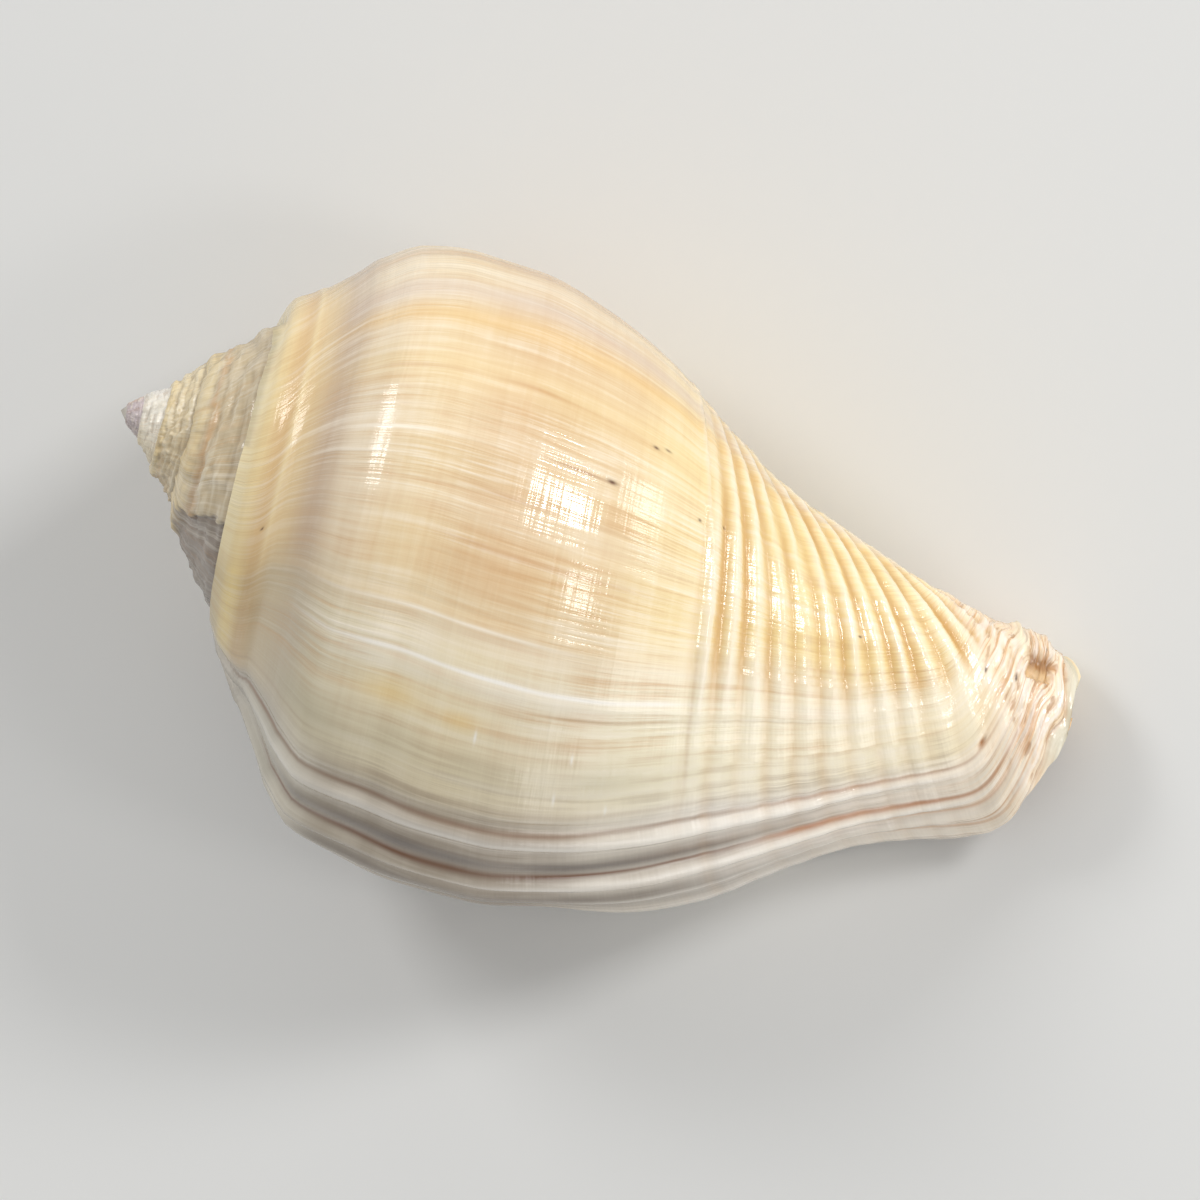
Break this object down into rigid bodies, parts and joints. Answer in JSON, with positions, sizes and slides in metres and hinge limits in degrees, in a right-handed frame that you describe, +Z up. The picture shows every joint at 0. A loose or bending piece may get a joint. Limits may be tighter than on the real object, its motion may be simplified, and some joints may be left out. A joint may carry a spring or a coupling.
{
  "type": "pear-shaped sea snail shell",
  "caption": "Volema pyrum seashell: low stepped spire, broad shoulder, open aperture tapering into a short siphonal canal, lying on its aperture.",
  "frame": {"origin": "on the surface that the shell lies on, below the centre of its box", "axes": "+X along the shell from the apex to the siphonal canal, +Y away from the outer lip, +Z up; the aperture faces down"},
  "size_m": [0.0784, 0.0504, 0.0392],
  "materials": {
    "shell": "gloss"
  },
  "bodies": {
    "root": {"shell": "shell"}
  },
  "joints": []
}
